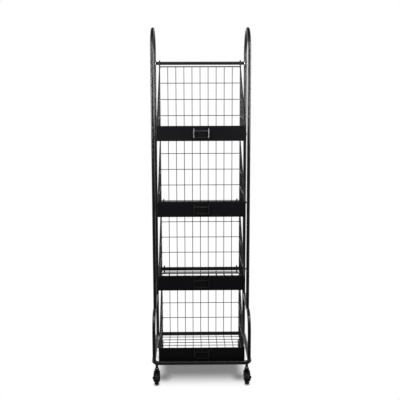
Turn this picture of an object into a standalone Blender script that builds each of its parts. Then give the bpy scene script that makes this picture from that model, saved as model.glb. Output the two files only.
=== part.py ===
"""Bread display rack on casters, in metres, +Z up, front towards -Y.

A bent tube hoop on four swivel casters carries two hairpin side frames. Four cross
tubes join their rear limbs, and a wire basket with a sheet-metal lip hangs on each.
The origin is the middle of the rack's box, on the floor.
"""

import math

import bmesh
import bpy
from mathutils import Matrix, Vector

# Gap left between pieces that touch
GAP = 0.0003

# Frame tubes: diameters, facets and the straight steps that make a quarter bend
TUBE_D = 0.016
HOOP_TUBE_D = 0.019
TUBE_SIDES = 12
BEND_STEPS = 5

# Base hoop, between tube centres, and the radius of its corner bends
HOOP_WIDTH = 0.457
HOOP_DEPTH = 0.405
HOOP_BEND = 0.030
HOOP_Z = 0.099

# Side frames: limbs between centres, and the top of the arch
LIMB_WIDTH = 0.451
LIMB_DEPTH = 0.250
RACK_HEIGHT = 1.670
REAR_LIMB_INSET = 0.015

# Shoulder tubes: front leg behind the hoop's front bar, bend, and height of the level run
LEG_INSET = 0.033
SHOULDER_BEND = 0.090
SHOULDER_Z = 0.320

# Cross tubes and the baskets that hang on them
TIERS = 4
TIER_PITCH = 0.350
TOP_TUBE_Z = 1.5045

# Bolts that hold the cross tubes to the rear limbs
BOLT_D = 0.006
BOLT_HEAD_D = 0.013
BOLT_HEAD_H = 0.005
BOLT_GRIP = 0.014
BOLT_SIDES = 8

# Wire baskets: room beside them inside the limbs and the hoop, wire sizes and the mesh
BASKET_CLEARANCE = 0.0175
WIRE_D = 0.003
BORDER_D = 0.005
COLUMN_PITCH = 0.040
ROWS = 4
ROW_PITCH = 0.080
BASE_PITCH = 0.088
SIDE_PITCH = 0.088
PANEL_CLEARANCE = 0.001
PANEL_DROP = 0.017
BASE_DROP = 0.0035

# Hooks over the upper tube: the top basket's rise from its outer wires, and those of the
# baskets below are set in, to pass beside the outer wires of the basket above
HOOK_D = 0.004
HOOK_INSET = 0.013
HOOK_TIP = 0.006

# Sheet-metal lip of a basket and the card holder on it
SHEET = 0.0015
LIP_REACH = 0.372
LIP_END_GAP = 0.0005
LIP_HEIGHT = 0.069
LIP_UNDER = 0.0035
LIP_RETURN = 0.012
HOLDER_WIDTH = 0.074
HOLDER_HEIGHT = 0.044
HOLDER_RIM = 0.004
HOLDER_DEPTH = 0.003

# Casters: wheel, hood over it, swivel stem and axle
CASTER_ANGLE = math.radians(60)
WHEEL_D = 0.050
WHEEL_WIDTH = 0.020
WHEEL_CHAMFER = 0.003
WHEEL_SIDES = 20
TRAIL = 0.020
AXLE_D = 0.006
AXLE_HEAD_D = 0.010
AXLE_HEAD_H = 0.0015
PIN_SIDES = 12
HOOD_WIDTH = 0.030
HOOD_SIDE_GAP = 0.0013
HOOD_RUN = 0.003
HOOD_WALL = 0.003
HOOD_FOOT = 0.009
HOOD_FRONT_ANGLE = math.radians(10)
HOOD_TOP_ANGLE = math.radians(85)
BOSS_D = 0.022
BOSS_TOP = 0.070
STEM_PIN_D = 0.008
STEM_PIN_LENGTH = 0.015
STEM_COLLAR_D = 0.018
STEM_COLLAR_H = 0.004
STEM_D = 0.013

# Brake pedals of the two front casters
PEDAL_ANGLE = math.radians(55)
PEDAL_SLOPE = math.radians(38)
PEDAL_RISE = 0.0055
PEDAL_LENGTH = 0.022
PEDAL_NECK = 0.016
PEDAL_WIDTH = 0.036
PEDAL_FLARE = 0.0095
PEDAL_THICKNESS = 0.003
PEDAL_PIN_D = 0.004
EAR_THICKNESS = 0.004
EAR_RADIUS = 0.0042
EAR_SPREAD = math.radians(15)

X = Vector((1, 0, 0))
Y = Vector((0, 1, 0))
Z = Vector((0, 0, 1))
SMOOTH_ANGLE = math.radians(40)

# Reach of a caster from its stem, without and with a brake pedal
HOOD_RADIUS = WHEEL_D / 2 + HOOD_RUN + HOOD_WALL
HOOD_REACH = TRAIL + HOOD_RADIUS * math.cos(HOOD_FRONT_ANGLE)
PEDAL_PIVOT_R = HOOD_RADIUS + PEDAL_RISE
PEDAL_REACH = (
    TRAIL
    + PEDAL_PIVOT_R * math.cos(PEDAL_ANGLE)
    + PEDAL_LENGTH * math.cos(PEDAL_SLOPE)
    + PEDAL_THICKNESS / 2 * math.sin(PEDAL_SLOPE)
)

# Places along the depth, with the rack's box centred on the origin
HOOP_CENTRE_Y = (PEDAL_REACH - HOOD_REACH) / 2
FRONT_BAR_Y = HOOP_CENTRE_Y - HOOP_DEPTH / 2
REAR_BAR_Y = HOOP_CENTRE_Y + HOOP_DEPTH / 2
REAR_LIMB_Y = REAR_BAR_Y - REAR_LIMB_INSET
FRONT_LIMB_Y = REAR_LIMB_Y - LIMB_DEPTH
LEG_Y = FRONT_BAR_Y + LEG_INSET
LIMB_X = LIMB_WIDTH / 2
SHOULDER_X = (LIMB_WIDTH + HOOP_WIDTH) / 4
ARCH_R = LIMB_DEPTH / 2
ARCH_Z = RACK_HEIGHT - TUBE_D / 2 - ARCH_R

# Places within a basket, from the middle of its lower tube
PANEL_Y = -TUBE_D / 2 - PANEL_CLEARANCE - WIRE_D / 2
HOOK_FRONT = -TUBE_D / 2 - GAP - HOOK_D
PANEL_HALF = min(LIMB_WIDTH - TUBE_D, HOOP_WIDTH - HOOP_TUBE_D) / 2 - BASKET_CLEARANCE
PANEL_TOP = TIER_PITCH - PANEL_DROP
PANEL_FOOT = PANEL_TOP - ROWS * ROW_PITCH
BASE_TOP = WIRE_D / 2 - BASE_DROP
LIP_FRONT = -LIP_REACH
LIP_FOOT = BASE_TOP - LIP_UNDER
BASE_FRONT = LIP_FRONT + SHEET + GAP
BASE_REAR = min(PANEL_Y - WIRE_D / 2, HOOK_FRONT) - GAP


def clear_scene():
    for item in list(bpy.data.objects):
        bpy.data.objects.remove(item)


def finish(name, colour, roughness, metallic):
    """A plain material of one colour."""
    material = bpy.data.materials.new(name)
    material.use_nodes = True
    shader = material.node_tree.nodes["Principled BSDF"]
    shader.inputs["Base Color"].default_value = (*colour, 1)
    shader.inputs["Roughness"].default_value = roughness
    shader.inputs["Metallic"].default_value = metallic
    return material


def empty(name, location, parent):
    """A frame that pieces are placed in."""
    frame = bpy.data.objects.new(name, None)
    frame.location = location
    frame.parent = parent
    bpy.context.scene.collection.objects.link(frame)
    return frame


def piece(name, mesh, material, parent, origin=(0, 0, 0)):
    """One sub-part: its mesh is drawn in the parent's frame and its origin is then moved."""
    mesh.name = name
    mesh.transform(Matrix.Translation(-Vector(origin)))
    mesh.materials.clear()
    mesh.materials.append(material)
    mesh.shade_smooth()
    mesh.set_sharp_from_angle(angle=SMOOTH_ANGLE)
    item = bpy.data.objects.new(name, mesh)
    item.location = origin
    item.parent = parent
    bpy.context.scene.collection.objects.link(item)


def solid(bm):
    """The mesh of a finished outline, faces outwards."""
    bmesh.ops.recalc_face_normals(bm, faces=bm.faces)
    if bm.calc_volume(signed=True) < 0:
        bmesh.ops.reverse_faces(bm, faces=bm.faces)
    mesh = bpy.data.meshes.new("solid")
    bm.to_mesh(mesh)
    bm.free()
    return mesh


def combine(mesh, tools, operation):
    """The mesh joined with the tools, or cut by them."""
    collection = bpy.context.scene.collection
    body = bpy.data.objects.new("body", mesh)
    collection.objects.link(body)
    helpers = [body]
    for tool in tools:
        helper = bpy.data.objects.new("tool", tool)
        collection.objects.link(helper)
        helpers.append(helper)
        boolean = body.modifiers.new("boolean", "BOOLEAN")
        boolean.operation = operation
        boolean.solver = "EXACT"
        boolean.object = helper
    graph = bpy.context.evaluated_depsgraph_get()
    result = bpy.data.meshes.new_from_object(body.evaluated_get(graph))
    for helper in helpers:
        bpy.data.objects.remove(helper)
    return result


def arc(centre, radius, start, end, steps):
    """Points of a flat arc, both ends included."""
    points = []
    for step in range(steps + 1):
        angle = start + (end - start) * step / steps
        across = centre[0] + radius * math.cos(angle)
        up = centre[1] + radius * math.sin(angle)
        points.append((across, up))
    return points


def tube(path, diameter, normal, closed=False):
    """A round bar along a path that lies in one plane with this normal."""
    bm = bmesh.new()
    count = len(path)
    rings = []
    for index, point in enumerate(path):
        first = index == 0 and not closed
        last = index == count - 1 and not closed
        leaving = point - path[index - 1] if last else path[(index + 1) % count] - point
        arriving = leaving if first else point - path[index - 1]
        leaving = leaving.normalized()
        along = (arriving.normalized() + leaving).normalized()
        across = normal.cross(along) / along.dot(leaving)
        ring = []
        for side in range(TUBE_SIDES):
            angle = math.tau * side / TUBE_SIDES
            offset = normal * math.cos(angle) + across * math.sin(angle)
            ring.append(bm.verts.new(point + offset * diameter / 2))
        rings.append(ring)
    following = rings[1:] + rings[:1] if closed else rings[1:]
    for ring, after in zip(rings, following):
        for side in range(TUBE_SIDES):
            beside = (side + 1) % TUBE_SIDES
            bm.faces.new((ring[side], ring[beside], after[beside], after[side]))
    if not closed:
        bm.faces.new(rings[0])
        bm.faces.new(rings[-1])
    return solid(bm)


def stand(across, up, centre):
    """The transform that lays a drawing's first axis along across and its second along up."""
    turn = Matrix((across, up, across.cross(up))).transposed().to_4x4()
    return Matrix.Translation(centre) @ turn


def plate(outline, holes, thickness, place):
    """A flat plate with holes, drawn on its middle plane."""
    bm = bmesh.new()
    for loop in [outline, *holes]:
        corners = [bm.verts.new((across, up, -thickness / 2)) for across, up in loop]
        for corner, after in zip(corners, corners[1:] + corners[:1]):
            bm.edges.new((corner, after))
    bmesh.ops.triangle_fill(bm, edges=bm.edges[:], use_beauty=True, normal=Z)
    raised = bmesh.ops.extrude_face_region(bm, geom=bm.faces[:])["geom"]
    corners = [item for item in raised if isinstance(item, bmesh.types.BMVert)]
    bmesh.ops.translate(bm, verts=corners, vec=Z * thickness)
    bm.transform(place)
    return solid(bm)


def turned(profile, sides, place, bored=False):
    """A turned solid from (radius, height) points; the profile of a bored one closes on itself."""
    bm = bmesh.new()
    rings = []
    for radius, height in profile:
        ring = []
        for side in range(sides if radius else 1):
            angle = math.tau * (side + 0.5) / sides
            ring.append(bm.verts.new((radius * math.cos(angle), radius * math.sin(angle), height)))
        rings.append(ring)
    following = rings[1:] + rings[:1] if bored else rings[1:]
    for ring, after in zip(rings, following):
        for side in range(sides):
            beside = (side + 1) % sides
            corners = [
                ring[side % len(ring)],
                ring[beside % len(ring)],
                after[beside % len(after)],
                after[side % len(after)],
            ]
            bm.faces.new(list(dict.fromkeys(corners)))
    bm.transform(place)
    return solid(bm)


def clear_spans(lines):
    """The gaps between parallel wires, of which the outer two are border wires."""
    widths = [BORDER_D] + [WIRE_D] * (len(lines) - 2) + [BORDER_D]
    edges = list(zip(lines, widths))
    spans = []
    for (low, low_width), (high, high_width) in zip(edges, edges[1:]):
        spans.append((low + low_width / 2, high - high_width / 2))
    return spans


def cells(columns, rows):
    """The rectangular holes of a mesh."""
    holes = []
    for left, right in clear_spans(columns):
        for low, high in clear_spans(rows):
            holes.append([(left, low), (right, low), (right, high), (left, high)])
    return holes


def even_lines(start, end, pitch):
    """Wire lines from start, a pitch apart, that stop short of end, then end itself."""
    count = max(1, round(abs(end - start) / pitch))
    step = math.copysign(pitch, end - start)
    return sorted([start + step * index for index in range(count)] + [end])


def clipped(polygon, start, end):
    """The part of a polygon on the right of the line from start to end."""
    along = Vector(end) - Vector(start)

    def depth(point):
        offset = Vector(point) - Vector(start)
        return along.x * offset.y - along.y * offset.x

    kept = []
    for point, after in zip(polygon, polygon[1:] + polygon[:1]):
        here = depth(point)
        there = depth(after)
        if here <= 0:
            kept.append(point)
        if here * there < 0:
            share = here / (here - there)
            kept.append(tuple(Vector(point).lerp(Vector(after), share)))
    return kept


def area(polygon):
    total = 0
    for (across, up), (next_across, next_up) in zip(polygon, polygon[1:] + polygon[:1]):
        total += across * next_up - next_across * up
    return abs(total) / 2


def hoop_path():
    """The hoop's centre line, round its four corner bends."""
    half_width = HOOP_WIDTH / 2 - HOOP_BEND
    path = []
    for corner, (side, bar_y) in enumerate(
        [(1, REAR_BAR_Y - HOOP_BEND), (-1, REAR_BAR_Y - HOOP_BEND),
         (-1, FRONT_BAR_Y + HOOP_BEND), (1, FRONT_BAR_Y + HOOP_BEND)]
    ):
        start = math.radians(90 * corner)
        bend = arc((side * half_width, bar_y), HOOP_BEND, start, start + math.radians(90), BEND_STEPS)
        path += [Vector((across, depth, HOOP_Z)) for across, depth in bend]
    return path


def shoulder_path(side):
    """From the rear limb forward, round the bend and down the front leg to the hoop."""
    centre = (LEG_Y + SHOULDER_BEND, SHOULDER_Z - SHOULDER_BEND)
    bend = arc(centre, SHOULDER_BEND, math.radians(90), math.radians(180), BEND_STEPS + 1)
    flat = [(REAR_LIMB_Y, SHOULDER_Z), *bend, (LEG_Y, HOOP_Z)]
    return [Vector((side * SHOULDER_X, depth, height)) for depth, height in flat]


def frame_path(side):
    """From the hoop up the rear limb, over the arch and down the front limb."""
    centre = (REAR_LIMB_Y - ARCH_R, ARCH_Z)
    arch = arc(centre, ARCH_R, 0, math.pi, 2 * BEND_STEPS)
    flat = [(REAR_LIMB_Y, HOOP_Z), *arch, (FRONT_LIMB_Y, SHOULDER_Z)]
    return [Vector((side * LIMB_X, depth, height)) for depth, height in flat]


def roomy(path, diameter, normal, closed=False):
    """The space that a tube and its gap take up, for cutting a neighbour to fit round it."""
    return tube(path, diameter + 2 * GAP, normal, closed)


def rear_limb_room(side):
    """The space of the straight rear limb."""
    path = [Vector((side * LIMB_X, REAR_LIMB_Y, height)) for height in (HOOP_Z, ARCH_Z)]
    return roomy(path, TUBE_D, X)


def cross_tube_heights():
    return [TOP_TUBE_Z - TIER_PITCH * tier for tier in range(TIERS)]


def bolt_room(side, height):
    """The hole for a bolt, through the rear limb and into the cross tube."""
    ends = [LIMB_X + TUBE_D, LIMB_X - TUBE_D / 2 - BOLT_GRIP - GAP]
    path = [Vector((side * across, REAR_LIMB_Y, height)) for across in ends]
    return roomy(path, BOLT_D, Z)


def build_frame(rack, paint, zinc):
    """Hoop, side frames, shoulders, cross tubes and bolts."""
    sides = {"left": -1, "right": 1}
    hoop = hoop_path()
    piece("base_hoop", tube(hoop, HOOP_TUBE_D, Z, closed=True), paint, rack, (0, HOOP_CENTRE_Y, HOOP_Z))
    for label, side in sides.items():
        hoop_room = roomy(hoop, HOOP_TUBE_D, Z, closed=True)
        shoulder = shoulder_path(side)
        shoulder_mesh = tube(shoulder, TUBE_D, X)
        shoulder_mesh = combine(shoulder_mesh, [hoop_room, rear_limb_room(side)], "DIFFERENCE")
        piece(f"shoulder_{label}", shoulder_mesh, paint, rack, (side * SHOULDER_X, LEG_Y, HOOP_Z))

        rooms = [roomy(hoop, HOOP_TUBE_D, Z, closed=True), roomy(shoulder, TUBE_D, X)]
        rooms += [bolt_room(side, height) for height in cross_tube_heights()]
        frame_mesh = combine(tube(frame_path(side), TUBE_D, X), rooms, "DIFFERENCE")
        piece(f"side_frame_{label}", frame_mesh, paint, rack, (side * LIMB_X, REAR_LIMB_Y, HOOP_Z))

    for tier, height in enumerate(cross_tube_heights()):
        centre = (0, REAR_LIMB_Y, height)
        path = [Vector((side * LIMB_X, REAR_LIMB_Y, height)) for side in sides.values()]
        rooms = [rear_limb_room(side) for side in sides.values()]
        rooms += [bolt_room(side, height) for side in sides.values()]
        mesh = combine(tube(path, TUBE_D, Z), rooms, "DIFFERENCE")
        piece(f"cross_tube_{tier + 1}", mesh, paint, rack, centre)
        for label, side in sides.items():
            seat = (side * (LIMB_X + TUBE_D / 2 + GAP), REAR_LIMB_Y, height)
            piece(f"tube_bolt_{tier + 1}_{label}", bolt_mesh(side, seat), zinc, rack, seat)


def bolt_mesh(side, seat):
    """A domed bolt with its head outside the rear limb."""
    length = TUBE_D + BOLT_GRIP
    profile = [
        (0, BOLT_HEAD_H),
        (BOLT_HEAD_D / 3, BOLT_HEAD_H),
        (BOLT_HEAD_D / 2, BOLT_HEAD_H / 3),
        (BOLT_HEAD_D / 2, 0),
        (BOLT_D / 2, 0),
        (BOLT_D / 2, -length),
        (0, -length),
    ]
    return turned(profile, BOLT_SIDES, stand(Y, Z * side, seat))


def panel_outline(columns):
    """Outline of the back panel, whose upright wires end as teeth on the base."""
    half = PANEL_HALF + BORDER_D / 2
    low = PANEL_FOOT - BORDER_D / 2
    tip = max(BASE_TOP, BORDER_D / 2 - PANEL_DROP) + GAP
    outline = [(-half, PANEL_TOP + BORDER_D / 2)]
    for index, column in enumerate(columns):
        first = index == 0
        last = index == len(columns) - 1
        width = BORDER_D if first or last else WIRE_D
        left = column - width / 2
        right = column + width / 2
        outline += [] if first else [(left, low)]
        outline += [(left, tip), (right, tip)]
        outline += [] if last else [(right, low)]
    return outline + [(half, PANEL_TOP + BORDER_D / 2)]


def hook_band():
    """Outline of a wire hook that lies over a tube and runs down to the panel's top wire."""
    inner = TUBE_D / 2 + GAP
    outer = inner + HOOK_D
    leg = -PANEL_DROP - BORDER_D
    inside = arc((0, 0), inner, 0, math.pi, 2 * BEND_STEPS)
    outside = arc((0, 0), outer, math.pi, 0, 2 * BEND_STEPS)
    band = [(inner, -HOOK_TIP), *inside, (-inner, leg)]
    return band + [(-outer, leg), *outside, (outer, -HOOK_TIP)]


def back_panel(hook_x):
    """Back mesh with two hooks over the upper tube."""
    columns = even_lines(-PANEL_HALF, PANEL_HALF, COLUMN_PITCH)
    rows = even_lines(PANEL_FOOT, PANEL_TOP, ROW_PITCH)
    mesh = plate(panel_outline(columns), cells(columns, rows), WIRE_D, stand(X, Z, Y * PANEL_Y))
    hooks = []
    for side in (-1, 1):
        middle = Vector((side * hook_x, 0, TIER_PITCH))
        hooks.append(plate(hook_band(), [], HOOK_D, stand(Y, Z, middle)))
    return combine(mesh, hooks, "UNION")


def basket_base():
    """The level mesh that the loaves stand on."""
    half = PANEL_HALF + BORDER_D / 2
    outline = [(-half, BASE_FRONT), (half, BASE_FRONT), (half, BASE_REAR), (-half, BASE_REAR)]
    columns = even_lines(-PANEL_HALF, PANEL_HALF, COLUMN_PITCH)
    rows = even_lines(BASE_REAR - BORDER_D / 2, BASE_FRONT + BORDER_D / 2, BASE_PITCH)
    return plate(outline, cells(columns, rows), WIRE_D, stand(X, Y, Z * (BASE_TOP - WIRE_D / 2)))


def basket_side(side):
    """Triangular side mesh under a sloping border wire."""
    rear = BASE_REAR
    foot = BASE_TOP + GAP
    rear_top = min(PANEL_TOP + BORDER_D / 2, TIER_PITCH + BASE_TOP - WIRE_D - GAP)
    front_top = LIP_FOOT + LIP_HEIGHT - BORDER_D
    outline = [(BASE_FRONT, foot), (rear, foot), (rear, rear_top), (BASE_FRONT, front_top)]
    slope = Vector((rear - BASE_FRONT, rear_top - front_top)).normalized()
    inward = Vector((slope.y, -slope.x)) * BORDER_D
    line_start = Vector((BASE_FRONT, front_top)) + inward
    columns = even_lines(rear - BORDER_D / 2, BASE_FRONT + BORDER_D / 2, SIDE_PITCH)
    rows = [foot + BORDER_D / 2, *even_lines(PANEL_FOOT + ROW_PITCH, PANEL_TOP, ROW_PITCH)]
    holes = []
    for cell in cells(columns, rows):
        hole = clipped(cell, line_start, line_start + slope)
        if len(hole) > 2 and area(hole) > BORDER_D**2:
            holes.append(hole)
    return plate(outline, holes, WIRE_D, stand(Y, Z, X * side * PANEL_HALF))


def basket_lip():
    """Front sheet with its ends folded back."""
    half = PANEL_HALF + BORDER_D / 2 + LIP_END_GAP + SHEET
    back = LIP_FRONT + LIP_RETURN
    inner_half = half - SHEET
    inner_front = LIP_FRONT + SHEET
    outline = [
        (-half, back), (-half, LIP_FRONT), (half, LIP_FRONT), (half, back),
        (inner_half, back), (inner_half, inner_front), (-inner_half, inner_front), (-inner_half, back),
    ]
    return plate(outline, [], LIP_HEIGHT, stand(X, Y, Z * (LIP_FOOT + LIP_HEIGHT / 2)))


def card_holder():
    """Sheet pocket on the lip, folded over at both ends and the foot."""
    half = HOLDER_WIDTH / 2
    low = LIP_FOOT + (LIP_HEIGHT - HOLDER_HEIGHT) / 2
    high = low + HOLDER_HEIGHT
    face = LIP_FRONT - GAP
    backing = [(-half, low), (half, low), (half, high), (-half, high)]
    inner = half - HOLDER_RIM
    rim = [
        (-half, high), (-half, low), (half, low), (half, high),
        (inner, high), (inner, low + HOLDER_RIM), (-inner, low + HOLDER_RIM), (-inner, high),
    ]
    backing_mesh = plate(backing, [], SHEET, stand(X, Z, Y * (face - SHEET / 2)))
    rim_mesh = plate(rim, [], HOLDER_DEPTH, stand(X, Z, Y * (face - HOLDER_DEPTH / 2)))
    return combine(backing_mesh, [rim_mesh], "UNION")


def build_baskets(rack, paint, sheet_paint):
    """One basket a tier, drawn from the middle of its lower tube."""
    for tier, upper in enumerate(cross_tube_heights()):
        number = tier + 1
        hook_x = PANEL_HALF if tier == 0 else PANEL_HALF - HOOK_INSET
        basket = empty(f"basket_{number}", (0, REAR_LIMB_Y, upper - TIER_PITCH), rack)
        piece(f"basket_{number}_back", back_panel(hook_x), paint, basket, Y * PANEL_Y)
        piece(f"basket_{number}_base", basket_base(), paint, basket, Z * BASE_TOP)
        piece(f"basket_{number}_side_left", basket_side(-1), paint, basket, X * -PANEL_HALF)
        piece(f"basket_{number}_side_right", basket_side(1), paint, basket, X * PANEL_HALF)
        piece(f"basket_{number}_lip", basket_lip(), sheet_paint, basket, Y * LIP_FRONT)
        piece(f"basket_{number}_card_holder", card_holder(), sheet_paint, basket, Y * LIP_FRONT)


def caster_stem(hoop_room):
    """Swivel pin, collar and socket, fitted up to the underside of the hoop."""
    profile = [
        (0, BOSS_TOP - STEM_PIN_LENGTH),
        (STEM_PIN_D / 2, BOSS_TOP - STEM_PIN_LENGTH),
        (STEM_PIN_D / 2, BOSS_TOP + GAP),
        (STEM_COLLAR_D / 2, BOSS_TOP + GAP),
        (STEM_COLLAR_D / 2, BOSS_TOP + GAP + STEM_COLLAR_H),
        (STEM_D / 2, BOSS_TOP + GAP + STEM_COLLAR_H),
        (STEM_D / 2, HOOP_Z),
        (0, HOOP_Z),
    ]
    return combine(turned(profile, PIN_SIDES, Matrix()), [hoop_room], "DIFFERENCE")


def polar(radius, angle):
    """A point about the axle, in the caster's side view."""
    return (TRAIL + radius * math.cos(angle), WHEEL_D / 2 + radius * math.sin(angle))


def caster_hood(ahead, braked):
    """Hood over the wheel with a boss for the stem and, on a braked caster, two hinge ears."""
    axle_z = WHEEL_D / 2
    half = BOSS_D / 2
    arch = arc((TRAIL, axle_z), HOOD_RADIUS, HOOD_FRONT_ANGLE, HOOD_TOP_ANGLE, 2 * BEND_STEPS)
    outline = [
        (-half, axle_z), (TRAIL - HOOD_FOOT, axle_z - HOOD_FOOT),
        (TRAIL + HOOD_FOOT, axle_z - HOOD_FOOT), *arch, (-half, arch[-1][1]),
    ]
    side_view = stand(ahead, Z, Vector())
    mesh = plate(outline, [], HOOD_WIDTH, side_view)
    boss = turned(
        [(0, axle_z + HOOD_RADIUS - HOOD_WALL), (half, axle_z + HOOD_RADIUS - HOOD_WALL),
         (half, BOSS_TOP), (0, BOSS_TOP)],
        PIN_SIDES, Matrix(),
    )
    slot_half = WHEEL_WIDTH / 2 + HOOD_SIDE_GAP
    slot_r = HOOD_RADIUS - HOOD_WALL
    slot = arc((TRAIL, axle_z), slot_r, 0, math.pi, 2 * BEND_STEPS)
    slot = [(TRAIL + slot_r, -slot_r), *slot, (TRAIL - slot_r, -slot_r)]
    joined = [boss]
    cuts = [
        plate(slot, [], 2 * slot_half, side_view),
        bar(ahead * TRAIL + Z * axle_z, AXLE_D, 2 * HOOD_WIDTH),
        tube([Z * (BOSS_TOP - STEM_PIN_LENGTH - GAP), Z * (BOSS_TOP + half)], STEM_PIN_D + 2 * GAP, X),
    ]
    if braked:
        pivot = polar(PEDAL_PIVOT_R, PEDAL_ANGLE)
        wall = HOOD_RADIUS - HOOD_WALL / 2
        feet = [polar(wall, PEDAL_ANGLE - EAR_SPREAD), polar(wall, PEDAL_ANGLE + EAR_SPREAD)]
        quarter = math.radians(90)
        top = arc(pivot, EAR_RADIUS, PEDAL_ANGLE + quarter, PEDAL_ANGLE - quarter, 2 * BEND_STEPS)
        for side in (-1, 1):
            middle = X * side * (PEDAL_NECK / 2 + GAP + EAR_THICKNESS / 2)
            joined.append(plate([*feet, *top], [], EAR_THICKNESS, stand(ahead, Z, middle)))
        cuts.append(bar(ahead * pivot[0] + Z * pivot[1], PEDAL_PIN_D, 2 * HOOD_WIDTH))
    mesh = combine(mesh, joined, "UNION")
    return combine(mesh, cuts, "DIFFERENCE")


def bar(middle, diameter, length):
    """The room for a round bar along X."""
    return roomy([middle - X * length / 2, middle + X * length / 2], diameter, Z)


def caster_wheel(centre):
    """Tyre and hub in one, with a flat facet on the floor."""
    half = WHEEL_WIDTH / 2
    tread = WHEEL_D / 2 / math.cos(math.pi / WHEEL_SIDES)
    bore = AXLE_D / 2 + GAP
    profile = [
        (bore, -half),
        (tread - WHEEL_CHAMFER, -half),
        (tread, WHEEL_CHAMFER - half),
        (tread, half - WHEEL_CHAMFER),
        (tread - WHEEL_CHAMFER, half),
        (bore, half),
    ]
    return turned(profile, WHEEL_SIDES, stand(-Z, Y, centre), bored=True)


def caster_axle(centre):
    """Rivet through the hood and the wheel."""
    half = HOOD_WIDTH / 2 + GAP
    profile = [
        (0, -half - AXLE_HEAD_H),
        (AXLE_HEAD_D / 2, -half - AXLE_HEAD_H),
        (AXLE_HEAD_D / 2, -half),
        (AXLE_D / 2, -half),
        (AXLE_D / 2, half),
        (AXLE_HEAD_D / 2, half),
        (AXLE_HEAD_D / 2, half + AXLE_HEAD_H),
        (0, half + AXLE_HEAD_H),
    ]
    return turned(profile, PIN_SIDES, stand(-Z, Y, centre))


def brake_pedal(ahead, pivot):
    """Flared pedal with a cross pin that turns in the hood's ears."""
    neck = PEDAL_NECK / 2
    wide = PEDAL_WIDTH / 2
    outline = [
        (-neck, -PEDAL_PIN_D / 2), (neck, -PEDAL_PIN_D / 2), (neck, PEDAL_FLARE - PEDAL_THICKNESS),
        (wide, PEDAL_FLARE), (wide, PEDAL_LENGTH), (-wide, PEDAL_LENGTH), (-wide, PEDAL_FLARE),
        (-neck, PEDAL_FLARE - PEDAL_THICKNESS),
    ]
    down = ahead * math.cos(PEDAL_SLOPE) - Z * math.sin(PEDAL_SLOPE)
    reach = PEDAL_NECK / 2 + EAR_THICKNESS
    pin = tube([pivot - X * reach, pivot + X * reach], PEDAL_PIN_D, Z)
    return combine(plate(outline, [], PEDAL_THICKNESS, stand(X, down, pivot)), [pin], "UNION")


def build_casters(rack, plastic, rubber, zinc):
    """A caster under each corner bend; the front pair trails forward and the rear pair back."""
    inset = HOOP_BEND - HOOP_BEND * math.sin(CASTER_ANGLE)
    across = HOOP_WIDTH / 2 - HOOP_BEND + HOOP_BEND * math.cos(CASTER_ANGLE)
    ends = {"front": (-Y, FRONT_BAR_Y + inset), "rear": (Y, REAR_BAR_Y - inset)}
    for end, (ahead, depth) in ends.items():
        braked = end == "front"
        for label, side in {"left": -1, "right": 1}.items():
            name = f"caster_{end}_{label}"
            place = Vector((side * across, depth, 0))
            caster = empty(name, place, rack)
            hoop_room = roomy([point - place for point in hoop_path()], HOOP_TUBE_D, Z, closed=True)
            axle = ahead * TRAIL + Z * WHEEL_D / 2
            piece(f"{name}_stem", caster_stem(hoop_room), zinc, caster, Z * BOSS_TOP)
            piece(f"{name}_hood", caster_hood(ahead, braked), plastic, caster, Z * BOSS_TOP)
            piece(f"{name}_wheel", caster_wheel(axle), rubber, caster, axle)
            piece(f"{name}_axle", caster_axle(axle), zinc, caster, axle)
            if braked:
                pivot_ahead, pivot_z = polar(PEDAL_PIVOT_R, PEDAL_ANGLE)
                pivot = ahead * pivot_ahead + Z * pivot_z
                piece(f"{name}_brake_pedal", brake_pedal(ahead, pivot), plastic, caster, pivot)


clear_scene()
black_paint = finish("black_powder_coat", (0.028, 0.028, 0.032), 0.38, 0.0)
black_sheet = finish("black_sheet_paint", (0.020, 0.020, 0.024), 0.32, 0.0)
zinc_plate = finish("zinc_plate", (0.55, 0.55, 0.56), 0.35, 1.0)
black_plastic = finish("black_plastic", (0.024, 0.024, 0.026), 0.45, 0.0)
dark_rubber = finish("dark_rubber", (0.035, 0.035, 0.037), 0.60, 0.0)
rack_frame = empty("rack", (0, 0, 0), None)
build_frame(rack_frame, black_paint, zinc_plate)
build_baskets(rack_frame, black_paint, black_sheet)
build_casters(rack_frame, black_plastic, dark_rubber, zinc_plate)
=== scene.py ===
import math

import bpy
import bmesh
from mathutils import Matrix, Vector


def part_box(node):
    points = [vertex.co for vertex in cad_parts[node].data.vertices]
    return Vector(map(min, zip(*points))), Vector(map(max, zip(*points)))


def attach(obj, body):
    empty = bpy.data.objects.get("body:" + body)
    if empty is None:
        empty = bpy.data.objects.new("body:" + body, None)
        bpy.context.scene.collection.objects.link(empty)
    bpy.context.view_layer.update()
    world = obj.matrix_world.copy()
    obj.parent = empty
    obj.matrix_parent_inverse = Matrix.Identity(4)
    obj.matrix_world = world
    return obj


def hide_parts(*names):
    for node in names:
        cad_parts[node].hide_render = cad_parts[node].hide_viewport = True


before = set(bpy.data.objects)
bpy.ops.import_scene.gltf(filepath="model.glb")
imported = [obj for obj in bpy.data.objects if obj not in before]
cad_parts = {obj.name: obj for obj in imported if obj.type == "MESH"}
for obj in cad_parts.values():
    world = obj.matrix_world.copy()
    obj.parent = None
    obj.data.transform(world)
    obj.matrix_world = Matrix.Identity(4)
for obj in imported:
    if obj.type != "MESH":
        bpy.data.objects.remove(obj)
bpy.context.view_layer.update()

# Base hoop: one length of steel tube bent round four corners and welded into a ring. It carries
# the rack on its casters and is powder coated black, with a fine orange peel in the coat.
HOOP_TUBE = 0.019
HOOP_BEND = 0.030
DUST = (0.06, 0.06, 0.06)
FACES_UP = (0.25, 1.0)
GLOSS_PATCHES = (0.3, 0.7)
BEND_STEP = math.radians(7.5)
CREASE = math.radians(40)  # sharper edges than this stay sharp
MERGE = 0.00002  # corners nearer than this become one


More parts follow.
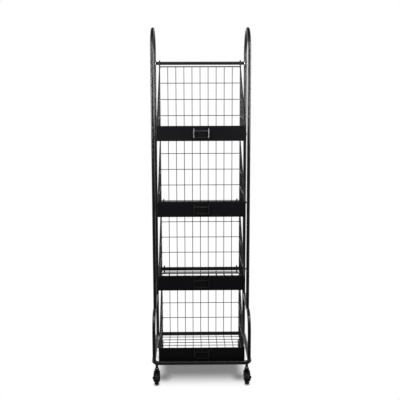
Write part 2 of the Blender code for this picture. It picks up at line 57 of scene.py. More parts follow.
def ranged(tree, source, before, after=(0.0, 1.0), ease="LINEAR"):
    """Carries a node's value over from one range to another."""
    change = tree.nodes.new("ShaderNodeMapRange")
    change.interpolation_type = ease
    change.inputs["From Min"].default_value, change.inputs["From Max"].default_value = before
    change.inputs["To Min"].default_value, change.inputs["To Max"].default_value = after
    tree.links.new(source, change.inputs["Value"])
    return change.outputs["Result"]


def product(tree, first, second):
    """Multiplies the values of two nodes."""
    times = tree.nodes.new("ShaderNodeMath")
    times.operation = "MULTIPLY"
    tree.links.new(first, times.inputs[0])
    tree.links.new(second, times.inputs[1])
    return times.outputs["Value"]


orange_peel = bpy.data.node_groups.new("orange_peel", "ShaderNodeTree")
orange_peel.interface.new_socket("Grain", in_out="INPUT", socket_type="NodeSocketFloat")
orange_peel.interface.new_socket("Height", in_out="OUTPUT", socket_type="NodeSocketFloat")
orange_peel.interface.new_socket("Patch", in_out="OUTPUT", socket_type="NodeSocketFloat")
nodes, links = orange_peel.nodes, orange_peel.links
group_in = nodes.new("NodeGroupInput")
group_out = nodes.new("NodeGroupOutput")
place = nodes.new("ShaderNodeTexCoord")
skin = nodes.new("ShaderNodeTexNoise")
skin.inputs["Detail"].default_value = 1.5
skin.inputs["Roughness"].default_value = 0.45
patch = nodes.new("ShaderNodeTexNoise")
patch.inputs["Scale"].default_value = 9.0
patch.inputs["Detail"].default_value = 3.0
links.new(place.outputs["Object"], skin.inputs["Vector"])
links.new(place.outputs["Object"], patch.inputs["Vector"])
links.new(group_in.outputs["Grain"], skin.inputs["Scale"])
links.new(skin.outputs["Fac"], group_out.inputs["Height"])
links.new(patch.outputs["Fac"], group_out.inputs["Patch"])

settled_dust = bpy.data.node_groups.new("settled_dust", "ShaderNodeTree")
settled_dust.interface.new_socket("Amount", in_out="INPUT", socket_type="NodeSocketFloat")
settled_dust.interface.new_socket("Mask", in_out="OUTPUT", socket_type="NodeSocketFloat")
nodes, links = settled_dust.nodes, settled_dust.links
group_in = nodes.new("NodeGroupInput")
group_out = nodes.new("NodeGroupOutput")
place = nodes.new("ShaderNodeTexCoord")
surface = nodes.new("ShaderNodeNewGeometry")
facing = nodes.new("ShaderNodeSeparateXYZ")
speckle = nodes.new("ShaderNodeTexNoise")
speckle.inputs["Scale"].default_value = 55.0
speckle.inputs["Detail"].default_value = 6.0
links.new(surface.outputs["Normal"], facing.inputs["Vector"])
links.new(place.outputs["Object"], speckle.inputs["Vector"])
upwards = ranged(settled_dust, facing.outputs["Z"], FACES_UP)
broken = product(settled_dust, upwards, speckle.outputs["Fac"])
amount = product(settled_dust, broken, group_in.outputs["Amount"])
links.new(amount, group_out.inputs["Mask"])


def coated(name, colour, dusty, grain, bump, gloss, matt, dust, shine):
    """A coat or moulded skin: orange peel, patches of unlike gloss, and dust on what faces up."""
    material = bpy.data.materials.new(name)
    material.use_nodes = True
    tree = material.node_tree
    shader = tree.nodes["Principled BSDF"]
    shader.inputs["Specular IOR Level"].default_value = shine
    peel = tree.nodes.new("ShaderNodeGroup")
    peel.node_tree = orange_peel
    peel.inputs["Grain"].default_value = grain
    settled = tree.nodes.new("ShaderNodeGroup")
    settled.node_tree = settled_dust
    settled.inputs["Amount"].default_value = dust
    tint = tree.nodes.new("ShaderNodeMix")
    tint.data_type = "RGBA"
    tint.inputs["A"].default_value = (*colour, 1)
    tint.inputs["B"].default_value = (*dusty, 1)
    relief = tree.nodes.new("ShaderNodeBump")
    relief.inputs["Strength"].default_value = 1.0
    relief.inputs["Distance"].default_value = bump
    roughness = ranged(tree, peel.outputs["Patch"], GLOSS_PATCHES, (gloss, matt))
    tree.links.new(settled.outputs["Mask"], tint.inputs["Factor"])
    tree.links.new(tint.outputs["Result"], shader.inputs["Base Color"])
    tree.links.new(roughness, shader.inputs["Roughness"])
    tree.links.new(peel.outputs["Height"], relief.inputs["Height"])
    tree.links.new(relief.outputs["Normal"], shader.inputs["Normal"])
    return material


tube_coat = coated(
    "tube_coat", (0.0045, 0.0045, 0.0055), DUST,
    grain=700.0, bump=0.00004, gloss=0.25, matt=0.35, dust=0.05, shine=0.6,
)


def outwards(piece):
    """Closes the ends of a piece and turns its faces outwards."""
    bpy.ops.object.mode_set(mode="EDIT")
    bpy.ops.mesh.select_all(action="SELECT")
    bpy.ops.mesh.remove_doubles(threshold=MERGE)
    bpy.ops.mesh.fill_holes(sides=0)
    bpy.ops.mesh.normals_make_consistent(inside=False)
    volume = bmesh.from_edit_mesh(piece.data).calc_volume(signed=True)
    if volume < 0:
        bpy.ops.mesh.flip_normals()
    bpy.ops.object.mode_set(mode="OBJECT")
    bpy.ops.object.shade_smooth_by_angle(angle=CREASE)


def bent_tube(name, diameter, points, bend=0.0, sides=24, ring=False):
    """A round tube or wire, drawn along straight runs and spun round each bend."""
    points = [Vector(point) for point in points]
    if ring:
        middle = (points[0] + points[-1]) / 2
        points = [middle, *points, middle]
    heading = (points[1] - points[0]).normalized()
    bpy.ops.object.select_all(action="DESELECT")
    bpy.ops.mesh.primitive_circle_add(
        vertices=sides, radius=diameter / 2, fill_type="NOTHING",
        location=points[0], rotation=heading.to_track_quat("Z", "Y").to_euler(),
    )
    piece = bpy.context.object
    piece.name = name
    bpy.ops.object.transform_apply(location=True, rotation=True, scale=True)
    bpy.ops.object.mode_set(mode="EDIT")
    bpy.ops.mesh.select_all(action="SELECT")
    here = points[0]
    for corner, after in zip(points[1:], points[2:]):
        turned = (after - corner).normalized()
        angle = heading.angle(turned)
        setback = bend * math.tan(angle / 2)
        run = corner - heading * setback - here
        if run.length > MERGE:
            bpy.ops.mesh.extrude_region_move(TRANSFORM_OT_translate={"value": run})
        axis = heading.cross(turned).normalized()
        centre = corner - heading * setback + axis.cross(heading) * bend
        steps = max(4, round(angle / BEND_STEP))
        bpy.ops.mesh.spin(steps=steps, angle=-angle, center=centre, axis=axis)
        here = corner + turned * setback
        heading = turned
    bpy.ops.mesh.extrude_region_move(TRANSFORM_OT_translate={"value": points[-1] - here})
    outwards(piece)
    return piece


def fitted(piece, body, slot, material, *replaced):
    """Gives a piece its material and its body, and hides the CAD nodes that it stands for. The slot
    is not used.
    """
    piece.data.materials.clear()
    piece.data.materials.append(material)
    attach(piece, body)
    if replaced:
        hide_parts(*replaced)
    return piece


hoop_low, hoop_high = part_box("base_hoop")
hoop_z = (hoop_low.z + hoop_high.z) / 2
hoop_x = hoop_high.x - HOOP_TUBE / 2
front_bar_y = hoop_low.y + HOOP_TUBE / 2
rear_bar_y = hoop_high.y - HOOP_TUBE / 2
hoop = bent_tube(
    "hoop_tube", HOOP_TUBE,
    [(hoop_x, rear_bar_y, hoop_z), (-hoop_x, rear_bar_y, hoop_z),
     (-hoop_x, front_bar_y, hoop_z), (hoop_x, front_bar_y, hoop_z)],
    HOOP_BEND, sides=32, ring=True,
)
fitted(hoop, "rack", "frame_paint", tube_coat, "base_hoop")

# Side frames: a hairpin of steel tube each side, whose rear limb stands on the hoop and whose
# front limb ends on a shoulder tube that bends down to the hoop. All the joints are welded and
# coated over.
FRAME_TUBE = 0.016
ARCH_BEND = 0.125
SHOULDER_BEND = 0.090
BEAD_R = 0.0016
BEAD_SEAT = 0.0004
BEAD_SIDES = 8
RIPPLE_HEIGHT = 0.012
RIPPLE_TURN = 2.6
SIDES = {"left": -1, "right": 1}
UP = Vector((0, 0, 1))
FORWARD = Vector((0, -1, 0))
BACK = Vector((0, 1, 0))


def weld_bead(name, centre, outward, along, seat_r):
    """A bead round the end of one frame tube where it is coped on to the side of another tube."""
    turn = outward.to_track_quat("Z", "Y")
    bpy.ops.object.select_all(action="DESELECT")
    bpy.ops.mesh.primitive_torus_add(
        major_radius=FRAME_TUBE / 2 + BEAD_SEAT, minor_radius=BEAD_R,
        major_segments=48, minor_segments=BEAD_SIDES, location=(0, 0, 0),
    )
    bead = bpy.context.object
    bead.name = name
    across = turn.inverted() @ along.cross(outward)
    for index, corner in enumerate(bead.data.vertices):
        offset = corner.co.x * across.x + corner.co.y * across.y
        corner.co.z += math.sqrt(seat_r ** 2 - min(abs(offset), seat_r) ** 2)
        ripple = 1 + RIPPLE_HEIGHT * math.sin(RIPPLE_TURN * (index // BEAD_SIDES))
        corner.co.x *= ripple
        corner.co.y *= ripple
        corner.co = turn @ corner.co + centre
    bpy.ops.object.shade_smooth()
    return bead


for label in SIDES:
    low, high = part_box(f"side_frame_{label}")
    limb_x = (low.x + high.x) / 2
    rear_y = high.y - FRAME_TUBE / 2
    front_y = low.y + FRAME_TUBE / 2
    arch_z = high.z - FRAME_TUBE / 2
    low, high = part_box(f"shoulder_{label}")
    shoulder_x = (low.x + high.x) / 2
    leg_y = low.y + FRAME_TUBE / 2
    shoulder_z = high.z - FRAME_TUBE / 2
    hairpin = bent_tube(
        f"hairpin_{label}", FRAME_TUBE,
        [(limb_x, rear_y, hoop_z), (limb_x, rear_y, arch_z),
         (limb_x, front_y, arch_z), (limb_x, front_y, shoulder_z)],
        ARCH_BEND,
    )
    fitted(hairpin, "rack", "frame_paint", tube_coat, f"side_frame_{label}")
    shoulder = bent_tube(
        f"shoulder_tube_{label}", FRAME_TUBE,
        [(shoulder_x, rear_y, shoulder_z), (shoulder_x, leg_y, shoulder_z),
         (shoulder_x, leg_y, hoop_z)],
        SHOULDER_BEND,
    )
    fitted(shoulder, "rack", "frame_paint", tube_coat, f"shoulder_{label}")
    for joint, centre, outward, along, seat in (
        ("limb_front", (limb_x, front_y, shoulder_z), UP, BACK, FRAME_TUBE),
        ("limb_rear", (limb_x, rear_y, hoop_z), UP, BACK, HOOP_TUBE),
        ("leg", (shoulder_x, leg_y, hoop_z), UP, BACK, HOOP_TUBE),
        ("shoulder", (shoulder_x, rear_y, shoulder_z), FORWARD, UP, FRAME_TUBE),
    ):
        bead = weld_bead(f"weld_{joint}_{label}", Vector(centre), outward, along, seat / 2)
        fitted(bead, "rack", "frame_paint", tube_coat)

# Cross tubes: straight tubes between the rear limbs, coped at both ends to fit round them. Each
# carries the basket that hangs below it, and is held by a bolt through either limb.
TIERS = range(1, 5)

for number in TIERS:
    low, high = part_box(f"cross_tube_{number}")
    tube_z = (low.z + high.z) / 2
    tube = bent_tube(
        f"cross_bar_{number}", FRAME_TUBE,
        [(-limb_x, rear_y, tube_z), (limb_x, rear_y, tube_z)],
    )
    fitted(tube, "rack", "frame_paint", tube_coat, f"cross_tube_{number}")

# Tube bolts: zinc-plated button-head screws through the rear limbs into the cross tubes. The head
# has a hexagon socket, and the plate has a faint cloudy bloom.
BOLT_HEAD = 0.013
BOLT_DOME = 0.0048
BOLT_SHANK = 0.006
BOLT_LENGTH = 0.029
BOLT_SOCKET = 0.0042
SOCKET_DEPTH = 0.0025
CUT_CREASE = math.radians(32)

zinc_plate = bpy.data.materials.new("zinc_plate")
zinc_plate.use_nodes = True
tree = zinc_plate.node_tree
shader = tree.nodes["Principled BSDF"]
shader.inputs["Metallic"].default_value = 1.0
place = tree.nodes.new("ShaderNodeTexCoord")
bloom = tree.nodes.new("ShaderNodeTexNoise")
bloom.inputs["Scale"].default_value = 420.0
bloom.inputs["Detail"].default_value = 5.0
tone = tree.nodes.new("ShaderNodeMix")
tone.data_type = "RGBA"
tone.inputs["A"].default_value = (0.50, 0.51, 0.53, 1)
tone.inputs["B"].default_value = (0.66, 0.66, 0.66, 1)
dulled = ranged(tree, bloom.outputs["Fac"], (0.0, 1.0), (0.22, 0.46))
tree.links.new(place.outputs["Object"], bloom.inputs["Vector"])
tree.links.new(bloom.outputs["Fac"], tone.inputs["Factor"])
tree.links.new(tone.outputs["Result"], shader.inputs["Base Color"])
tree.links.new(dulled, shader.inputs["Roughness"])


def turned_piece(name, rings, sides, place=Matrix()):
    """A turned piece: a circle extruded from ring to ring, each with its own radius and height."""
    bpy.ops.object.select_all(action="DESELECT")
    radius, height = rings[0]
    bpy.ops.mesh.primitive_circle_add(
        vertices=sides, radius=radius, fill_type="NOTHING", location=(0, 0, height),
    )
    piece = bpy.context.object
    piece.name = name
    bpy.ops.object.transform_apply(location=True, rotation=True, scale=True)
    bpy.ops.object.mode_set(mode="EDIT")
    bpy.ops.mesh.select_all(action="SELECT")
    for next_radius, next_height in rings[1:]:
        bpy.ops.mesh.extrude_region_move(
            TRANSFORM_OT_translate={"value": (0, 0, next_height - height)}
        )
        share = next_radius / radius
        bpy.ops.transform.resize(
            value=(share, share, 1), center_override=(0, 0, next_height),
        )
        radius, height = next_radius, next_height
    outwards(piece)
    piece.data.transform(place)
    return piece


def cut_from(piece, cutter):
    """Takes the cutter's shape out of the piece."""
    carve = piece.modifiers.new("carve", "BOOLEAN")
    carve.operation = "DIFFERENCE"
    carve.solver = "EXACT"
    carve.object = cutter
    bpy.context.view_layer.objects.active = piece
    bpy.ops.object.modifier_apply(modifier="carve")
    bpy.data.objects.remove(cutter)
    bpy.ops.object.select_all(action="DESELECT")
    piece.select_set(True)
    bpy.ops.object.shade_smooth_by_angle(angle=CUT_CREASE)


def own_copy(piece, name, place):
    """A copy with its own mesh, moved by place."""
    twin = bpy.data.objects.new(name, piece.data.copy())
    twin.data.transform(place)
    bpy.context.scene.collection.objects.link(twin)
    return twin


half_head = BOLT_HEAD / 2
bolt = turned_piece(
    "tube_screw",
    [(BOLT_SHANK / 2, -BOLT_LENGTH), (BOLT_SHANK / 2, 0.0), (half_head - 0.0003, 0.0),
     (half_head, 0.0004), (half_head, 0.0013), (half_head * 0.93, 0.0024),
     (half_head * 0.80, 0.0034), (half_head * 0.62, 0.0042), (half_head * 0.42, 0.0047),
     (half_head * 0.36, BOLT_DOME)],
    sides=40,
)
bpy.ops.object.select_all(action="DESELECT")
bpy.ops.mesh.primitive_cylinder_add(
    vertices=6, radius=BOLT_SOCKET / 2 / math.cos(math.pi / 6), depth=2 * SOCKET_DEPTH,
    location=(0, 0, BOLT_DOME),
)
cut_from(bolt, bpy.context.object)
for number in TIERS:
    for label, side in SIDES.items():
        low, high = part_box(f"tube_bolt_{number}_{label}")
        seat_x = side * (limb_x + FRAME_TUBE / 2)
        seat = Vector((seat_x, rear_y, (low.z + high.z) / 2))
        facing_out = Vector((side, 0, 0)).to_track_quat("Z", "Y").to_matrix().to_4x4()
        screw = own_copy(bolt, f"screw_{number}_{label}", Matrix.Translation(seat) @ facing_out)
        fitted(screw, "rack", "zinc_plate", zinc_plate, f"tube_bolt_{number}_{label}")
bpy.data.objects.remove(bolt)

# Saddle washers: zinc-plated rings between the ends of the cross tubes and the rear limbs. Each is
# rolled to the round of the limb, so that the bolt draws the tube up square.
SADDLE = 0.0205
SADDLE_WALL = 0.0012
SADDLE_BORE = 0.0002  # added to the cross tube's radius
SADDLE_GAP = 0.0001  # left between the ring and the limb

dull_zinc = zinc_plate.copy()
dull_zinc.name = "dull_zinc"
dull_tone = next(node for node in dull_zinc.node_tree.nodes if node.bl_idname == "ShaderNodeMix")
dull_tone.inputs["A"].default_value = (0.24, 0.245, 0.26, 1)
dull_tone.inputs["B"].default_value = (0.34, 0.34, 0.35, 1)

inner = FRAME_TUBE / 2 + SADDLE_BORE
bpy.ops.object.select_all(action="DESELECT")
bpy.ops.mesh.primitive_circle_add(
    vertices=48, radius=inner, fill_type="NOTHING", location=(0, 0, 0),
)
saddle = bpy.context.object
saddle.name = "saddle"
bpy.ops.object.mode_set(mode="EDIT")
bpy.ops.mesh.select_all(action="SELECT")
for outer in ((inner + SADDLE / 2) / 2, SADDLE / 2):
    bpy.ops.mesh.extrude_region_move(TRANSFORM_OT_translate={"value": (0, 0, 0)})
    bpy.ops.transform.resize(value=(outer / inner, outer / inner, 1), center_override=(0, 0, 0))
    inner = outer
bpy.ops.mesh.select_all(action="SELECT")
bpy.ops.mesh.normals_make_consistent(inside=False)
bpy.ops.object.mode_set(mode="OBJECT")
wall = saddle.modifiers.new("wall", "SOLIDIFY")
wall.thickness = SADDLE_WALL
wall.offset = 0
bpy.ops.object.modifier_apply(modifier="wall")
limb_r = FRAME_TUBE / 2 + SADDLE_GAP + SADDLE_WALL / 2
for corner in saddle.data.vertices:
    turn_round = corner.co.x / limb_r
    out = limb_r + corner.co.z
    corner.co = (out * math.cos(turn_round), out * math.sin(turn_round), corner.co.y)
outwards(saddle)
for number in TIERS:
    for label, side in SIDES.items():
        low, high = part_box(f"cross_tube_{number}")
        seat = Matrix.Translation((side * limb_x, rear_y, (low.z + high.z) / 2))
        inwards = Matrix.Rotation(math.pi if side > 0 else 0, 4, "Z")
        washer = own_copy(saddle, f"saddle_washer_{number}_{label}", seat @ inwards)
        fitted(washer, "rack", "zinc_plate", dull_zinc)
bpy.data.objects.remove(saddle)

# Wire baskets: long steel wires run down the back and bend forward under the bread, with cross
# wires welded over them. Heavier wires make the rim and the edges, and hooks hang the basket on the
# tube above. On the lower three the hooks stand further in and pass over the tube with some play.
WIRE = 0.0035
WIRE_BEND = 0.008
EDGE_WIRE = 0.0054
RIM_BEND = 0.010
HOOK_WIRE = 0.0068
HOOK_GAP = 0.0002
HOOK_PLAY = 0.005
HOOK_ROOT = 0.005  # below the rim
HOOK_END = 0.006  # below the middle of the tube
HOOK_INSET = 0.013  # in from the edge wires
TIER = 0.350  # from one basket to the next
BASKET_HALF = 0.200
PANEL_Y = -0.0105
FRONT_Y = -0.3685
BASE_Z = -0.0035
FRONT_END_Z = 0.042
RIM_Z = 0.333
RIM_FRONT_Z = 0.0565
ROW_STEP = 0.080
BACK_ROWS = 4
SIDE_ROWS = 3
MESH_STEP = 0.040
LONG_WIRES = 9
CROSS_WIRES = 8
WELD_SINK = 0.0004  # how far crossing wires are pressed into each other

wire_coat = coated(
    "wire_coat", (0.005, 0.005, 0.006), DUST,
    grain=1100.0, bump=0.00003, gloss=0.28, matt=0.38, dust=0.1, shine=0.35,
)


def repeated(piece, count, step):
    """Copies a wire along a straight line, in its own mesh."""
    row = piece.modifiers.new("row", "ARRAY")
    row.count = count
    row.use_relative_offset = False
    row.use_constant_offset = True
    row.constant_offset_displace = step
    row.use_merge_vertices = False
    bpy.context.view_layer.objects.active = piece
    bpy.ops.object.modifier_apply(modifier="row")
    return piece


def gathered(pieces):
    """Gathers several pieces in the mesh of the first."""
    bpy.ops.object.select_all(action="DESELECT")
    for piece in pieces:
        piece.select_set(True)
    bpy.context.view_layer.objects.active = pieces[0]
    bpy.ops.object.join()
    return pieces[0]


def wire(points, diameter, bend=WIRE_BEND, sides=10):
    """One wire of a basket."""
    return bent_tube("wire", diameter, points, bend, sides)


def long_wire(across, diameter):
    """From the rim down the back, forward under the bread and up behind the lip."""
    return wire(
        [(across, PANEL_Y, RIM_Z), (across, PANEL_Y, BASE_Z),
         (across, FRONT_Y, BASE_Z), (across, FRONT_Y, FRONT_END_Z)],
        diameter,
    )


def slope_at(depth):
    """Height of the sloping rim wire of a side at this depth."""
    share = (depth - FRONT_Y) / (PANEL_Y - FRONT_Y)
    return RIM_FRONT_Z + (RIM_Z - RIM_FRONT_Z) * share


over = WIRE - WELD_SINK
wires = [
    repeated(long_wire(MESH_STEP - BASKET_HALF, WIRE), LONG_WIRES, (MESH_STEP, 0, 0)),
    long_wire(-BASKET_HALF, EDGE_WIRE),
    long_wire(BASKET_HALF, EDGE_WIRE),
]
row_y = PANEL_Y - over
for row in range(1, BACK_ROWS + 1):
    row_z = RIM_Z - ROW_STEP * row
    wires.append(wire([(-BASKET_HALF, row_y, row_z), (BASKET_HALF, row_y, row_z)], WIRE))
cross_y = PANEL_Y - MESH_STEP
cross_z = BASE_Z + over
cross = wire([(-BASKET_HALF, cross_y, cross_z), (BASKET_HALF, cross_y, cross_z)], WIRE)
wires.append(repeated(cross, CROSS_WIRES, (0, -MESH_STEP, 0)))
wires.append(wire(
    [(-BASKET_HALF, FRONT_Y, RIM_FRONT_Z), (-BASKET_HALF, PANEL_Y, RIM_Z),
     (BASKET_HALF, PANEL_Y, RIM_Z), (BASKET_HALF, FRONT_Y, RIM_FRONT_Z)],
    EDGE_WIRE, RIM_BEND, sides=14,
))
for side in SIDES.values():
    inner_x = side * (BASKET_HALF - over)
    for step in range(1, CROSS_WIRES + 1):
        depth = PANEL_Y - MESH_STEP * step
        foot = (side * BASKET_HALF, depth, BASE_Z)
        wires.append(wire([foot, (side * BASKET_HALF, depth, slope_at(depth))], WIRE))
    for row in range(1, SIDE_ROWS + 1):
        row_z = RIM_Z - ROW_STEP * row
        share = (row_z - RIM_FRONT_Z) / (RIM_Z - RIM_FRONT_Z)
        depth = FRONT_Y + (PANEL_Y - FRONT_Y) * share
        wires.append(wire([(inner_x, PANEL_Y, row_z), (inner_x, depth, row_z)], WIRE))
wirework = gathered(wires)
wirework.name = "wirework"

hook_line = -(FRAME_TUBE + HOOK_WIRE) / 2 - HOOK_GAP
hook_top = TIER - hook_line + HOOK_PLAY
hook = bent_tube(
    "hook", HOOK_WIRE,
    [(0, hook_line, RIM_Z - HOOK_ROOT), (0, hook_line, hook_top),
     (0, -hook_line, hook_top), (0, -hook_line, TIER - HOOK_END)],
    -hook_line, sides=14,
)
for number in TIERS:
    basket_z = sum(corner.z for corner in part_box("cross_tube_1")) / 2 - TIER * number
    basket = Matrix.Translation((0, rear_y, basket_z))
    pieces = [own_copy(wirework, f"basket_{number}_wirework", basket)]
    hook_x, hook_drop = BASKET_HALF - HOOK_INSET, 0
    if number == 1:
        hook_x, hook_drop = BASKET_HALF, -HOOK_PLAY
    for side in SIDES.values():
        hook_spot = Matrix.Translation((side * hook_x, 0, hook_drop))
        pieces.append(own_copy(hook, "hook_copy", basket @ hook_spot))
    fitted(
        gathered(pieces), "rack", "frame_paint", wire_coat,
        f"basket_{number}_back", f"basket_{number}_base",
        f"basket_{number}_side_left", f"basket_{number}_side_right",
    )
bpy.data.objects.remove(wirework)
bpy.data.objects.remove(hook)

# Lips: sheet steel across the front of each basket, with the ends folded back round its corners.
# The sheet is coated like the frame, with a finer peel, and its cut edges are rounded.
SHEET = 0.0015
SHEET_ROUND = 0.0004
SHEET_CREASE = math.radians(50)
LIP_FOLD = 0.003
NEAR = 0.0001  # allowance when corners are picked by their place

sheet_coat = coated(
    "sheet_coat", (0.0100, 0.0100, 0.0118), (0.05, 0.05, 0.05),
    grain=900.0, bump=0.00003, gloss=0.32, matt=0.44, dust=0.1, shine=0.1,
)


def upright_sheet(name, width, height, centre):
    """A flat sheet that stands across the rack, as a start for folding."""
    bpy.ops.object.select_all(action="DESELECT")
    bpy.ops.mesh.primitive_plane_add(
        size=1, location=(0, 0, 0), rotation=(math.radians(90), 0, 0),
    )
    sheet = bpy.context.object
    sheet.name = name
    sheet.scale = (width, height, 1)
    sheet.location = centre
    bpy.ops.object.transform_apply(location=True, rotation=True, scale=True)
    return sheet


def edge_select(piece, chosen):
    """Selects the edges whose two ends satisfy chosen."""
    mesh = bmesh.from_edit_mesh(piece.data)
    bpy.ops.mesh.select_all(action="DESELECT")
    bpy.ops.mesh.select_mode(type="EDGE")
    for edge in mesh.edges:
        edge.select_set(all(chosen(corner.co) for corner in edge.verts))
    bmesh.update_edit_mesh(piece.data)


def flats_kept(piece):
    """Shades the rounded edges smooth and keeps the broad faces between them flat."""
    bpy.ops.object.select_all(action="DESELECT")
    piece.select_set(True)
    bpy.context.view_layer.objects.active = piece
    bpy.ops.object.shade_smooth_by_angle(angle=CREASE)
    broad = piece.modifiers.new("broad", "WEIGHTED_NORMAL")
    broad.keep_sharp = True
    bpy.ops.object.modifier_apply(modifier="broad")


def softened(piece, width, crease):
    """Rounds the edges of a piece that are sharper than crease."""
    soft = piece.modifiers.new("soft", "BEVEL")
    soft.width = width
    soft.segments = 2
    soft.limit_method = "ANGLE"
    soft.angle_limit = crease
    bpy.context.view_layer.objects.active = piece
    bpy.ops.object.modifier_apply(modifier="soft")
    flats_kept(piece)


def thickened(piece, thickness, offset, rounding):
    """Gives a folded sheet its thickness and rounds its cut edges."""
    wall = piece.modifiers.new("wall", "SOLIDIFY")
    wall.thickness = thickness
    wall.offset = offset
    wall.use_even_offset = True
    bpy.context.view_layer.objects.active = piece
    bpy.ops.object.modifier_apply(modifier="wall")
    softened(piece, rounding, SHEET_CREASE)


low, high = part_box("basket_1_lip")
lip_half = high.x
lip_y = low.y
fold_back = high.y - low.y
lip = upright_sheet("lip", 2 * lip_half, high.z - low.z, (0, lip_y, (low.z + high.z) / 2))
bpy.ops.object.mode_set(mode="EDIT")
for side in SIDES.values():
    edge_select(lip, lambda corner: corner.x * side > lip_half - NEAR)
    bpy.ops.mesh.extrude_region_move(TRANSFORM_OT_translate={"value": (0, fold_back, 0)})
edge_select(lip, lambda corner: abs(corner.x) > lip_half - NEAR and corner.y < lip_y + NEAR)
bpy.ops.mesh.bevel(offset=LIP_FOLD, segments=5, affect="EDGES")
bpy.ops.mesh.select_all(action="SELECT")
bpy.ops.mesh.normals_make_consistent(inside=False)
front = max(bmesh.from_edit_mesh(lip.data).faces, key=lambda face: face.calc_area())
if front.normal.y > 0:
    bpy.ops.mesh.flip_normals()
bpy.ops.object.mode_set(mode="OBJECT")
thickened(lip, SHEET, -1, SHEET_ROUND)
for number in TIERS:
    drop = Matrix.Translation((0, 0, -TIER * (number - 1)))
    copy = own_copy(lip, f"basket_{number}_lip_sheet", drop)
    fitted(copy, "rack", "sheet_paint", sheet_coat, f"basket_{number}_lip")
bpy.data.objects.remove(lip)

# Card holders: an empty pocket of thin steel on the middle of each lip, for a price card slid in
# from above. Its end rails are folded forward at a slant, its top edge has a narrow hem and its
# foot is turned up. These edges are one piece here, because their coat is smoother.
HOLDER_WALL = 0.0007
HOLDER_ROUND = 0.0003
HOLDER_RIM = 0.0055
HOLDER_DIP = 0.009
POCKET_SHARE = 0.8  # this and the rails' start and slant are shares of the holder's depth
RAIL_START = 0.08
RAIL_SLANT = 1.1
RAIL_ROOT = 0.0008
STRIP_ROUND = 0.0002
HEM = 0.0026
HEM_TILT = math.radians(25)
FOOT_TILT = math.radians(11)

low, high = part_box("basket_1_card_holder")
holder_half = high.x
holder_height = high.z - low.z
holder_z = (low.z + high.z) / 2
dip_z = high.z - HOLDER_DIP
reach = low.y - high.y
holder = upright_sheet("holder", 2 * holder_half, holder_height, (0, high.y, holder_z))
bpy.ops.object.mode_set(mode="EDIT")
for point, normal in (
    ((0, 0, dip_z), (0, 0, 1)),
    ((holder_half - HOLDER_RIM, 0, 0), (1, 0, 0)),
    ((HOLDER_RIM - holder_half, 0, 0), (1, 0, 0)),
):
    bpy.ops.mesh.select_all(action="SELECT")
    bpy.ops.mesh.bisect(plane_co=point, plane_no=normal)
bpy.ops.mesh.select_mode(type="FACE")
bpy.ops.mesh.select_all(action="DESELECT")
mesh = bmesh.from_edit_mesh(holder.data)
for face in mesh.faces:
    middle = face.calc_center_median()
    face.select_set(middle.z > dip_z and abs(middle.x) < holder_half - HOLDER_RIM)
bmesh.update_edit_mesh(holder.data)
bpy.ops.mesh.delete(type="FACE")
edge_select(holder, lambda corner: corner.z < low.z + NEAR)
bpy.ops.mesh.extrude_region_move(
    TRANSFORM_OT_translate={"value": (0, reach * POCKET_SHARE, 0)}
)
bpy.ops.mesh.select_all(action="SELECT")
bpy.ops.mesh.normals_make_consistent(inside=False)
bpy.ops.object.mode_set(mode="OBJECT")
thickened(holder, HOLDER_WALL, 0, HOLDER_ROUND)

rail_coat = coated(
    "rail_coat", (0.008, 0.008, 0.009), DUST,
    grain=900.0, bump=0.00001, gloss=0.26, matt=0.32, dust=0.05, shine=0.8,
)
root_x = holder_half - RAIL_ROOT / 2
rails = upright_sheet(
    "rails", RAIL_ROOT, holder_height, (root_x, high.y + reach * RAIL_START, holder_z),
)
bpy.ops.object.mode_set(mode="EDIT")
edge_select(rails, lambda corner: corner.x < root_x)
bpy.ops.mesh.extrude_region_move(
    TRANSFORM_OT_translate={"value": (RAIL_ROOT - HOLDER_RIM, reach * RAIL_SLANT, 0)}
)
bpy.ops.object.mode_set(mode="OBJECT")
thickened(rails, HOLDER_WALL, 0, HOLDER_ROUND)
pair = rails.modifiers.new("pair", "MIRROR")
pair.use_axis[0] = True
pair.use_mirror_merge = False
bpy.ops.object.modifier_apply(modifier="pair")
strips = [rails]
for strip_y, strip_z, rise, tilt in (
    (high.y, dip_z, -HEM, HEM_TILT),
    (high.y + reach * POCKET_SHARE, low.z, HOLDER_RIM, FOOT_TILT),
):
    middle_z = strip_z + rise / 2
    strip = upright_sheet(
        "strip", 2 * (holder_half - HOLDER_RIM), abs(rise), (0, strip_y, middle_z),
    )
    bpy.ops.object.mode_set(mode="EDIT")
    edge_select(strip, lambda corner: (corner.z - middle_z) * rise > 0)
    bpy.ops.transform.translate(value=(0, rise * math.tan(tilt), 0))
    bpy.ops.object.mode_set(mode="OBJECT")
    thickened(strip, HOLDER_WALL, 0, STRIP_ROUND)
    strips.append(strip)
flats_kept(gathered(strips))
for number in TIERS:
    drop = Matrix.Translation((0, 0, -TIER * (number - 1)))
    copy = own_copy(holder, f"basket_{number}_card_pocket", drop)
    fitted(copy, "rack", "sheet_paint", sheet_coat, f"basket_{number}_card_holder")
    copy = own_copy(rails, f"basket_{number}_card_rails", drop)
    fitted(copy, "rack", "sheet_paint", rail_coat)
bpy.data.objects.remove(rails)
bpy.data.objects.remove(holder)

# Caster stems: a black steel sleeve welded under each corner of the hoop takes a zinc-plated swivel
# pin, whose collar shows as a bright ring above the hood.
STEM = 0.013
SLEEVE_FLARE = 0.0012
SLEEVE_FOOT = 0.0744
SLEEVE_TOP = 0.0935
COLLAR = 0.018
COLLAR_FOOT = 0.0703
PIN = 0.008
PIN_FOOT = 0.0552

